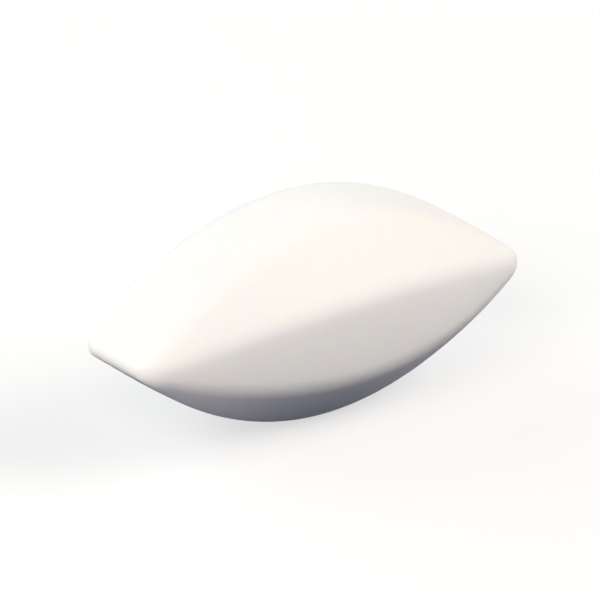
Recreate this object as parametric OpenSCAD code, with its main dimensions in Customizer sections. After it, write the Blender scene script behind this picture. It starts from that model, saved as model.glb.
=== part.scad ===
// Magnetic stir bar: a bar magnet sealed in a moulded plastic jacket.
//
// The jacket is a faceted lens.  Its section at the middle is a regular polygon with
// rounded corners, and towards each end the section closes onto a blunt edge that lies
// across the bar.  Every facet is curved along the bar and straight across it: seen from
// the side, the bar's outline is a parabola that runs into the round of each end edge.
// X runs along the bar, Y across it along the end edges, and Z is up.  The bar lies on
// its lowest facet, with the middle of that facet at the origin.

/* [Jacket] */
// Overall length, over the two end edges
length = 35; // [24:0.5:60]
// Height and width at the middle, from each facet to the facet opposite
across_flats = 16; // [13:0.1:22]
// Number of long facets
facets = 8; // [8:4:16]
// Length of the blunt edge across each end
end_edge = 7.5; // [3:0.1:10]
// Radius of each blunt edge, seen from the side
tip_r = 0.9; // [0.3:0.05:1.2]
// Radius of the corners at the two ends of each blunt edge, seen from above
corner_r = 1.5; // [0.5:0.05:3]
// Radius of the ridges between facets at the middle: it shrinks as the facets narrow
ridge_r = 2.8; // [0.5:0.1:4]

/* [Magnet] */
// Diameter of the bar magnet
magnet_d = 8; // [4:0.5:9]
// Bevel round each end of the magnet
magnet_bevel = 0.4; // [0.1:0.05:1]
// Least thickness of jacket over the magnet's ends
end_cover = 1.6; // [0.8:0.1:2]

/* [Hidden] */
half_l = length / 2;
half_h = across_flats / 2;
half_edge = end_edge / 2;
magnet_r = magnet_d / 2;

// Each end closes on a sliver of a flat, where the outline still faces this many degrees
// away from the end's own direction, so that the last section isn't a bare line
end_flat = 6;
tip_centre_x = half_l - tip_r * cos(end_flat);
corner_centre_x = half_l - corner_r * cos(end_flat);
// The two sections nearest the middle keep this far from it, so that each facet has a
// narrow level band between them, on which the bar lies still
level_half = 0.9;
level_share = level_half / tip_centre_x;
// Seen from the side, the outline is what a disc of radius tip_r covers as its centre
// runs down a parabola, from this height over the axis to the axis at each end.  The bar
// has its full height over the level band, which cuts the parabola's top off.
crest = (half_h - tip_r) / (1 - level_share ^ 2);
// How far the outline has turned down where the level band ends and where the parabola does
level_slope = atan(2 * crest / tip_centre_x * level_share);
tip_slope = atan(2 * crest / tip_centre_x);

// The radius of a ridge stays under this share of its section's half height
ridge_fill = 0.95;
ridge_limit = ridge_fill * half_h;
ridge_wide = ridge_r / sqrt(1 - (ridge_r / ridge_limit) ^ 2);

// Half the magnet's length: over its rims the jacket is still end_cover thick
magnet_half_l = tip_centre_x * sqrt(1 - (magnet_r + end_cover - tip_r) / crest);

// Steps along half the parabola, steps round an end edge, and steps round a ridge
arc_steps = 25;
tip_steps = 8;
ridge_steps = 6;
// Segments in the magnet's round wall
magnet_segments = 96;

jacket_colour = [0.95, 0.95, 0.94];
magnet_colour = [0.42, 0.42, 0.44];

// How far the outline has turned at each section of one half, from the level band to the
// end: the sections lie closer together towards the corners of the end edge
half_slopes = [
    for (i = [0 : arc_steps]) level_slope + (tip_slope - level_slope) * sin(90 * i / arc_steps),
    for (i = [1 : tip_steps]) tip_slope + (90 - end_flat - tip_slope) * i / tip_steps
];

// Place along the bar, and height over its axis, of the outline where it has turned by slope
function outline(slope) =
    let (run = min(1, tan(slope) / tan(tip_slope))) [
        tip_centre_x * run + tip_r * sin(slope),
        crest * (1 - run ^ 2) + tip_r * cos(slope)
    ];

// Half the length of the line that the facets close onto, at x: it draws in round the corners
function edge_reach(x) =
    let (past = max(0, x - corner_centre_x))
        half_edge - corner_r + sqrt(corner_r ^ 2 - past ^ 2);

// Distance from the axis to the facet that faces an angle from +Y.  share is the section's
// height over the middle's: at share 0 all facets would meet on the end edge.
function reach(angle, share, edge) =
    let (inner = edge * abs(cos(angle))) inner + share * (half_h - inner);

// Radius of the ridges at a section, always less than what its facets leave room for
function ridge_radius(share) =
    let (limit = ridge_limit * share) ridge_wide * limit / norm([ridge_wide, limit]);

// Where two lines cross that lie off_a and off_b from the axis, and face angles a and b
function crossing(a, off_a, b, off_b) = [
    off_a * sin(b) - off_b * sin(a),
    off_b * cos(a) - off_a * cos(b)
] / sin(b - a);

// The section where the outline has turned by slope, on the +X side (side 1) or the -X
// side (side -1): a rounded corner between each facet and the next
function section(slope, side) =
    let (
        turn = 360 / facets,
        x = outline(slope)[0],
        share = outline(slope)[1] / half_h,
        edge = edge_reach(x),
        radius = ridge_radius(share)
    ) [
        for (a = [0 : turn : 360 - turn])
            let (
                b = a + turn,
                off_a = reach(a, share, edge) - radius,
                off_b = reach(b, share, edge) - radius,
                centre = crossing(a, off_a, b, off_b)
            )
            for (i = [0 : ridge_steps])
                let (
                    angle = a + turn * i / ridge_steps,
                    point = centre + radius * [cos(angle), sin(angle)]
                )
                [side * x, point[0], half_h + point[1]]
    ];

// Skin over a list of sections that have the same number of points
module loft(sections) {
    rows = len(sections);
    n = len(sections[0]);
    polyhedron(
        points = [for (section = sections) each section],
        faces = [
            [for (j = [0 : n - 1]) j],
            for (i = [0 : rows - 2], j = [0 : n - 1])
                let (k = (j + 1) % n) [i * n + j, (i + 1) * n + j, (i + 1) * n + k, i * n + k],
            [for (j = [n - 1 : -1 : 0]) (rows - 1) * n + j]
        ]
    );
}

// The jacket's outer form, from the -X end to the +X end
module faceted_lens() {
    last = len(half_slopes) - 1;
    loft([
        for (i = [last : -1 : 0]) section(half_slopes[i], -1),
        for (slope = half_slopes) section(slope, 1)
    ]);
}

// The magnet's own form, which is the form of the jacket's cavity too
module magnet_rod() {
    straight_l = 2 * (magnet_half_l - magnet_bevel);
    translate([0, 0, half_h])
        rotate([0, 90, 0])
            rotate_extrude($fn = magnet_segments)
                polygon([
                    [0, -magnet_half_l],
                    [magnet_r - magnet_bevel, -magnet_half_l],
                    [magnet_r, -straight_l / 2],
                    [magnet_r, straight_l / 2],
                    [magnet_r - magnet_bevel, magnet_half_l],
                    [0, magnet_half_l]
                ]);
}

module jacket() {
    color(jacket_colour)
        difference() {
            faceted_lens();
            magnet_rod();
        }
}

module bar_magnet() {
    color(magnet_colour)
        magnet_rod();
}

jacket();
bar_magnet();
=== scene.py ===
"""Magnetic stir bar: a bar magnet sealed in a white moulded jacket, dressed for a picture.

The jacket's skin is built here again from the same few dimensions as the solid that it
replaces, with finer steps, flats that bulge a little across, and the faint unevenness of
a moulded surface.  The magnet keeps its solid and gets a cast alloy finish.
"""

from math import atan, cos, hypot, pi, radians, sin, sqrt, tan

import bpy
from mathutils import Matrix, Vector, noise


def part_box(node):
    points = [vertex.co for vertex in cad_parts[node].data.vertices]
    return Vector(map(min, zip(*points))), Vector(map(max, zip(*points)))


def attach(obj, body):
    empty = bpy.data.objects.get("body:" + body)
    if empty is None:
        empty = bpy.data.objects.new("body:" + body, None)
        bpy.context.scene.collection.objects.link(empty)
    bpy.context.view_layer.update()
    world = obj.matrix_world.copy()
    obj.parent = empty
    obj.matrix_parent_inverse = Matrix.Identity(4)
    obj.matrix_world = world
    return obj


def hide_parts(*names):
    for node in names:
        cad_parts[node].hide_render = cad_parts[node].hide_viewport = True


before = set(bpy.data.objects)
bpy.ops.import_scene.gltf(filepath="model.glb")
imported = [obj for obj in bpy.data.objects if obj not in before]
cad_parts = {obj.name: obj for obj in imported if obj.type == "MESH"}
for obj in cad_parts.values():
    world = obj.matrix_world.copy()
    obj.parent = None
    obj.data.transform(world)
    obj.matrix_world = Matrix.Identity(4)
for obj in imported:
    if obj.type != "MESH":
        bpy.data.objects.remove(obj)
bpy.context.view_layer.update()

MM = 0.001

# ------------------------------------------------------------------ sizes of the bar
JACKET_LOW, JACKET_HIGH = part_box("jacket")
HALF_L = (JACKET_HIGH.x - JACKET_LOW.x) / 2
HALF_H = (JACKET_HIGH.z - JACKET_LOW.z) / 2
AXIS_Z = (JACKET_HIGH.z + JACKET_LOW.z) / 2
MIDDLE = Vector((0, 0, AXIS_Z))

MAGNET_LOW, MAGNET_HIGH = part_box("bar_magnet")
MAGNET_HALF_L = (MAGNET_HIGH.x - MAGNET_LOW.x) / 2
MAGNET_R = (MAGNET_HIGH.z - MAGNET_LOW.z) / 2
MAGNET_BEVEL = 0.4 * MM

FACETS = 8
TURN = 2 * pi / FACETS
FACINGS = [k * TURN for k in range(FACETS)]
HALF_EDGE = 3.75 * MM         # half the blunt edge across each end
TIP_R = 0.9 * MM              # round of that edge, seen from the side
CORNER_R = 1.5 * MM           # round of its corners, seen from above
RIDGE_R = 2.8 * MM            # round of the ridges at the middle, where they are broadest
RIDGE_FILL = 0.95             # a ridge's radius stays under this share of the half height
CROWN = radians(3.7)          # how far each flat has turned away at its edges: it bulges
BULGE_FILL = 0.4              # a bulge stays under this share of what the ridges leave
END_FLAT = radians(6)         # the sliver of a flat that closes each end
UNEVEN = 0.02 * MM            # depth of the moulded skin's long shallow waves
UNEVEN_L = 5 * MM             # and their length

ARC_STEPS = 110               # along half the bar
TIP_STEPS = 20                # round an end edge
RIDGE_STEPS = 12              # round a ridge
FLAT_STEPS = 10               # across a flat
CAVITY_STEPS = 96             # round the cavity


# ------------------------------------------------------------------ the jacket's form
# The side outline is the rim of a disc of the tip's radius.  The disc's centre runs down a
# parabola, from CREST above the axis at the middle to TIP_CENTRE along it.
TIP_CENTRE = HALF_L - TIP_R * cos(END_FLAT)
CREST = HALF_H - TIP_R
TIP_SLOPE = atan(2 * CREST / TIP_CENTRE)

CORNER_CENTRE = HALF_L - CORNER_R * cos(END_FLAT)

# The ridges' radius is RIDGE_WIDE, held under a share of the height over the axis.  At the
# middle, where that height is HALF_H, this comes to RIDGE_R.
RIDGE_LIMIT = RIDGE_FILL * HALF_H
RIDGE_WIDE = RIDGE_R / sqrt(1 - (RIDGE_R / RIDGE_LIMIT) ** 2)


def outline(slope):
    """Place along the bar and height over its axis where the side outline has turned by
    slope."""
    run = min(1, tan(slope) / tan(TIP_SLOPE))
    return (
        TIP_CENTRE * run + TIP_R * sin(slope),
        CREST * (1 - run * run) + TIP_R * cos(slope),
    )


def edge_reach(x):
    """Half the line that the facets close onto: it draws in round the corners."""
    past = max(0, x - CORNER_CENTRE)
    return HALF_EDGE - CORNER_R + sqrt(CORNER_R**2 - past * past)


def held_under(limit, value):
    """The value, eased so that it never reaches the limit."""
    return value * limit / hypot(value, limit)


def facing(angle):
    """Unit vector in the section that faces an angle from +Y."""
    return Vector((cos(angle), sin(angle)))


def crossing(a, off_a, b, off_b):
    """Where two lines cross that lie off_a and off_b from the axis and face a and b."""
    across = off_a * sin(b) - off_b * sin(a)
    up = off_b * cos(a) - off_a * cos(b)
    return Vector((across, up)) / sin(b - a)


def ridge_centres(reaches):
    """Where each two neighbouring lines cross that lie at these reaches from the axis."""
    return [
        crossing(FACINGS[k], reaches[k], FACINGS[k] + TURN, reaches[(k + 1) % FACETS])
        for k in range(FACETS)
    ]


def half_widths(centres):
    """Half the distance between each ridge's centre and the one before."""
    return [(centres[k] - centres[k - 1]).length / 2 for k in range(FACETS)]


def flat_points(middle, half, angle, bulge, radius):
    """Points across a facet: a low arc over the line between two ridges' centres, set out
    by the ridges' radius."""
    points = []
    for i in range(FLAT_STEPS):
        t = 2 * i / FLAT_STEPS - 1
        along = facing(angle + pi / 2) * half * t
        ground = middle + along + facing(angle) * bulge * (1 - t * t)
        points.append(ground + facing(angle + atan(t * 2 * bulge / half)) * radius)
    return points


def ridge_points(centre, start, end, radius):
    """Points round a ridge, from the angle start to just before end."""
    swing = end - start
    return [
        centre + facing(start + swing * i / RIDGE_STEPS) * radius for i in range(RIDGE_STEPS)
    ]


def section(slope):
    """Points (Y, Z from the axis) round the section where the outline has turned by slope:
    facets that bulge a little, with a round of one radius between each and the next."""
    x, height = outline(slope)
    share = height / HALF_H
    radius = held_under(RIDGE_LIMIT * share, RIDGE_WIDE)
    inners = [edge_reach(x) * abs(cos(angle)) for angle in FACINGS]
    reaches = [inner + share * (HALF_H - inner) - radius for inner in inners]
    arcs = [half * tan(CROWN) / 2 for half in half_widths(ridge_centres(reaches))]
    bulges = [held_under(BULGE_FILL * (height - radius), arc) for arc in arcs]
    centres = ridge_centres([reach - bulge for reach, bulge in zip(reaches, bulges)])
    halves = half_widths(centres)
    leans = [atan(2 * bulge / half) for bulge, half in zip(bulges, halves)]
    points = []
    for k, angle in enumerate(FACINGS):
        middle = (centres[k] + centres[k - 1]) / 2
        start = angle + leans[k]
        end = angle + TURN - leans[(k + 1) % FACETS]
        points += flat_points(middle, halves[k], angle, bulges[k], radius)
        points += ridge_points(centres[k], start, end, radius)
    return points


def skin_rows():
    """The jacket's sections as rows of points, from the -X end to the +X end."""
    slopes = [TIP_SLOPE * sin(pi / 2 * i / ARC_STEPS) for i in range(ARC_STEPS + 1)]
    rest = pi / 2 - END_FLAT - TIP_SLOPE
    slopes += [TIP_SLOPE + rest * i / TIP_STEPS for i in range(1, TIP_STEPS + 1)]
    half = [
        [(outline(slope)[0], y, z + AXIS_Z) for y, z in section(slope)] for slope in slopes
    ]
    mirrored = [[(-x, y, z) for x, y, z in row] for row in half[:0:-1]]
    return mirrored + half


def cavity_rows():
    """The cavity that the magnet fills, as rings of points."""
    rim_r = MAGNET_R - MAGNET_BEVEL
    straight = MAGNET_HALF_L - MAGNET_BEVEL
    rings = [
        (-MAGNET_HALF_L, rim_r),
        (-straight, MAGNET_R),
        (straight, MAGNET_R),
        (MAGNET_HALF_L, rim_r),
    ]
    angles = [2 * pi * i / CAVITY_STEPS for i in range(CAVITY_STEPS)]
    return [[(x, r * cos(a), r * sin(a) + AXIS_Z) for a in angles] for x, r in rings]


def loft(rows, first, outward):
    """Faces over rows of points, the first of which is the mesh's point number first."""
    n = len(rows[0])
    faces = [[first + j for j in range(n)]]
    faces.append([first + (len(rows) - 1) * n + j for j in reversed(range(n))])
    for i in range(len(rows) - 1):
        near, far = first + i * n, first + (i + 1) * n
        for j in range(n):
            k = (j + 1) % n
            faces.append([near + j, far + j, far + k, near + k])
    return [face[::-1] for face in faces] if outward else faces


def roughen(mesh, count):
    """Sink the mesh's first points by the skin's waves, which only ever go inwards."""
    normals = [vertex.normal.copy() for vertex in mesh.vertices[:count]]
    for vertex, normal in zip(mesh.vertices[:count], normals):
        wave = noise.noise(vertex.co / UNEVEN_L)
        vertex.co -= normal * UNEVEN * (1 + wave) / 2


def new_object(name, data):
    """An object in the scene that holds a mesh, a lamp or a lens."""
    thing = bpy.data.objects.new(name, data)
    bpy.context.collection.objects.link(thing)
    return thing


def make_jacket():
    """The jacket: its skin, and the closed cavity inside it."""
    skin, cavity = skin_rows(), cavity_rows()
    points = [point for row in skin + cavity for point in row]
    skin_count = len(skin) * len(skin[0])
    skin_faces = loft(skin, 0, outward=True)
    cavity_faces = loft(cavity, skin_count, outward=False)
    mesh = bpy.data.meshes.new("jacket_skin")
    mesh.from_pydata(points, [], skin_faces + cavity_faces)
    smooth = [True] * len(skin_faces) + [False] * len(cavity_faces)
    mesh.polygons.foreach_set("use_smooth", smooth)
    roughen(mesh, skin_count)
    mesh.update()
    return new_object("jacket_skin", mesh)


# ------------------------------------------------------------------ materials
# Colours run between two tints, and roughness between two levels.  Noise scales are in
# cells a metre.
JACKET_TINTS = ((0.950, 0.946, 0.936), (0.965, 0.963, 0.956))
JACKET_ROUGHNESS = (0.55, 0.70)
MOTTLE_SCALE = 350            # faint clouds of about 3 mm
GLOSS_SCALE = 1200            # patches of about 1 mm, more and less glossy
GRAIN_SCALE = 5500            # grain of about 0.2 mm
GRAIN_DEPTH = 0.02 * MM
MILKY_DEPTH = 0.8 * MM        # how far light wanders under the skin
MILKY_COLOURS = (1.0, 0.85, 0.55)

MAGNET_TINTS = ((0.26, 0.26, 0.27), (0.40, 0.40, 0.41))
MAGNET_ROUGHNESS = (0.35, 0.6)
CAST_SCALE = 1800             # cast grain of about 0.6 mm
CAST_DEPTH = 0.03 * MM


class Nodes:
    """The nodes of a material or a world, with short calls to add and to link them."""

    def __init__(self, owner):
        owner.use_nodes = True
        self.owner = owner
        self.tree = owner.node_tree

    def named(self, name):
        return self.tree.nodes[name]

    def put(self, socket, value):
        """Set a socket to a value, or link it to an output."""
        if isinstance(value, bpy.types.NodeSocket):
            self.tree.links.new(value, socket)
        else:
            socket.default_value = value

    def feed(self, node, **sockets):
        """Set or link a node's named sockets."""
        for name, value in sockets.items():
            self.put(node.inputs[name.replace("_", " ")], value)

    def add(self, kind, **sockets):
        """A new node of a kind, with its named sockets set or linked."""
        node = self.tree.nodes.new("ShaderNode" + kind)
        self.feed(node, **sockets)
        return node

    def tint(self, value, tints, places=(0, 1)):
        """The colour between two tints that a value has reached between two places."""
        ramp = self.add("ValToRGB", Fac=value)
        for element, colour, place in zip(ramp.color_ramp.elements, tints, places):
            element.position = place
            element.color = (*colour, 1)
        return ramp.outputs["Color"]

    def level(self, value, low_high):
        """The level between a low and a high one that a value has reached."""
        low, high = low_high
        return self.add("MapRange", Value=value, To_Min=low, To_Max=high).outputs["Result"]

    def either(self, first, second):
        """1 where one of two values is 1."""
        larger = self.add("Math")
        larger.operation = "MAXIMUM"
        self.put(larger.inputs[0], first)
        self.put(larger.inputs[1], second)
        return larger.outputs["Value"]

    def seen_directly(self):
        """1 for rays that see the background itself or its reflection, 0 for bounced light."""
        path = self.add("LightPath")
        seen = self.either(path.outputs["Is Camera Ray"], path.outputs["Is Glossy Ray"])
        return self.either(seen, path.outputs["Is Transmission Ray"])

    def mix(self, factor, first, second):
        """The first shader where a factor is 0, the second where it is 1."""
        mixed = self.add("MixShader", Fac=factor)
        self.put(mixed.inputs[1], first)
        self.put(mixed.inputs[2], second)
        return mixed.outputs["Shader"]


def jacket_material():
    """White fluoropolymer: satin, milky, with a fine grain and a faint mottle."""
    nodes = Nodes(bpy.data.materials.new("white_fluoropolymer"))
    place = nodes.add("TexCoord").outputs["Object"]
    mottle = nodes.add("TexNoise", Vector=place, Scale=MOTTLE_SCALE, Detail=4)
    gloss = nodes.add("TexNoise", Vector=place, Scale=GLOSS_SCALE, Detail=3)
    grain = nodes.add("TexNoise", Vector=place, Scale=GRAIN_SCALE, Detail=4, Roughness=0.6)
    bump = nodes.add("Bump", Height=grain.outputs["Fac"], Strength=0.25, Distance=GRAIN_DEPTH)
    nodes.feed(
        nodes.named("Principled BSDF"),
        Base_Color=nodes.tint(mottle.outputs["Fac"], JACKET_TINTS, places=(0.3, 0.7)),
        Roughness=nodes.level(gloss.outputs["Fac"], JACKET_ROUGHNESS),
        Normal=bump.outputs["Normal"],
        IOR=1.35,
        Specular_IOR_Level=0.1,
        Subsurface_Weight=0.6,
        Subsurface_Radius=MILKY_COLOURS,
        Subsurface_Scale=MILKY_DEPTH,
    )
    return nodes.owner


def magnet_material():
    """Cast magnet alloy with ground faces."""
    nodes = Nodes(bpy.data.materials.new("cast_magnet_alloy"))
    place = nodes.add("TexCoord").outputs["Object"]
    cast = nodes.add("TexNoise", Vector=place, Scale=CAST_SCALE, Detail=6).outputs["Fac"]
    bump = nodes.add("Bump", Height=cast, Strength=0.3, Distance=CAST_DEPTH)
    nodes.feed(
        nodes.named("Principled BSDF"),
        Base_Color=nodes.tint(cast, MAGNET_TINTS),
        Roughness=nodes.level(cast, MAGNET_ROUGHNESS),
        Normal=bump.outputs["Normal"],
        Metallic=1.0,
    )
    return nodes.owner


def give(piece, material):
    piece.data.materials.clear()
    piece.data.materials.append(material)


# ------------------------------------------------------------------ the stage
WHITE = (1, 1, 1, 1)
FLOOR_SIDE = 3.0              # metres
PAPER_GLOW = 0.6              # share of the seen floor that is plain white, without shadow
BOUNCE = (0.026, 0.04, 0.1)   # what the floor sends back up to the bar
AMBIENT = (0.75, 0.87, 1.0)   # tint of the room's light
AMBIENT_LEVEL = 0.02          # and its strength
LAMP_DISTANCE = 0.6           # metres from the bar
WARM = (1.0, 0.94, 0.87)      # tint of the lamps in front
COOL = (0.87, 0.95, 1.0)      # and of those behind
SOFTBOXES = {                 # azimuth and elevation in degrees, side in metres, watts, tint
    "left_softbox": (-60, 30, 0.45, 2.79, WARM),
    "low_softbox": (-90, 12, 0.24, 0.77, WARM),
    "right_softbox": (60, 30, 0.45, 3.62, WARM),
    "back_softbox": (-150, 30, 0.45, 1.6, COOL),
    "low_back_softbox": (180, 15, 0.3, 1.23, COOL),
}


def floor_material():
    """White paper to the eye, with the bar's shadow; a darker sheet to bounced light."""
    nodes = Nodes(bpy.data.materials.new("paper_floor"))
    paper = nodes.add("BsdfDiffuse", Color=WHITE).outputs["BSDF"]
    glow = nodes.add("Emission", Color=WHITE, Strength=1.0).outputs["Emission"]
    bounce = nodes.add("BsdfDiffuse", Color=(*BOUNCE, 1)).outputs["BSDF"]
    seen = nodes.mix(PAPER_GLOW, paper, glow)
    nodes.tree.nodes.remove(nodes.named("Principled BSDF"))
    surface = nodes.mix(nodes.seen_directly(), bounce, seen)
    nodes.feed(nodes.named("Material Output"), Surface=surface)
    return nodes.owner


def make_floor():
    half = FLOOR_SIDE / 2
    mesh = bpy.data.meshes.new("floor")
    corners = [(-half, -half, 0), (half, -half, 0), (half, half, 0), (-half, half, 0)]
    mesh.from_pydata(corners, [], [(0, 1, 2, 3)])
    floor = new_object("floor", mesh)
    give(floor, floor_material())


def make_world():
    """Faint light from all round, which the eye sees as a plain white backdrop."""
    world = bpy.data.worlds.new("studio")
    bpy.context.scene.world = world
    nodes = Nodes(world)
    ambient = nodes.named("Background")
    nodes.feed(ambient, Color=(*AMBIENT, 1), Strength=AMBIENT_LEVEL)
    backdrop = nodes.add("Background", Color=WHITE, Strength=1.0)
    surface = nodes.mix(
        nodes.seen_directly(), ambient.outputs["Background"], backdrop.outputs["Background"],
    )
    nodes.feed(nodes.named("World Output"), Surface=surface)


def direction(azimuth, elevation):
    """Unit vector from the bar towards a place; azimuth 0 is the -Y side, 90 is +X."""
    a, e = radians(azimuth), radians(elevation)
    return Vector((sin(a) * cos(e), -cos(a) * cos(e), sin(e)))


def aim(thing, azimuth, elevation, distance):
    """Put a lamp or camera at a distance from the bar, facing it; return how it is turned."""
    back = direction(azimuth, elevation)
    turned = back.to_track_quat("Z", "Y")
    thing.rotation_mode = "QUATERNION"
    thing.rotation_quaternion = turned
    thing.location = MIDDLE + back * distance
    return turned


def make_softbox(name, azimuth, elevation, size, power, tint):
    lamp = bpy.data.lights.new(name, "AREA")
    lamp.shape = "SQUARE"
    lamp.size = size
    lamp.energy = power
    lamp.color = tint
    aim(new_object(name, lamp), azimuth, elevation, LAMP_DISTANCE)


# ------------------------------------------------------------------ the camera
VIEW_AZIMUTH = -38.27
VIEW_ELEVATION = 24.75
VIEW_ROLL = 0.54              # degrees that the upright leans to the right
VIEW_DISTANCE = 0.4           # metres
NEAR_CLIP = 1 * MM
FRAME_PX = 600
PX_PER_MM = 13.633            # scale of the picture at the bar
CENTRE_PX = (302.4, 301.9)    # where the bar's centre lies in the picture, from its top left


def make_camera():
    lens = bpy.data.cameras.new("camera")
    lens.type = "ORTHO"
    lens.ortho_scale = FRAME_PX / PX_PER_MM * MM
    lens.clip_start = NEAR_CLIP
    camera = new_object("camera", lens)
    turned = aim(camera, VIEW_AZIMUTH, VIEW_ELEVATION, VIEW_DISTANCE)
    turned = turned @ Matrix.Rotation(radians(VIEW_ROLL), 3, "Z").to_quaternion()
    camera.rotation_quaternion = turned
    right, up = turned @ Vector((1, 0, 0)), turned @ Vector((0, 1, 0))
    aside = (FRAME_PX / 2 - CENTRE_PX[0]) / PX_PER_MM * MM
    above = (CENTRE_PX[1] - FRAME_PX / 2) / PX_PER_MM * MM
    camera.location += right * aside + up * above
    bpy.context.scene.camera = camera


# ------------------------------------------------------------------ put together
jacket = make_jacket()
give(jacket, jacket_material())
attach(jacket, "root")
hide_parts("jacket")
give(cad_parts["bar_magnet"], magnet_material())

make_floor()
make_world()
for name, settings in SOFTBOXES.items():
    make_softbox(name, *settings)
make_camera()
bpy.context.scene.view_settings.view_transform = "Standard"
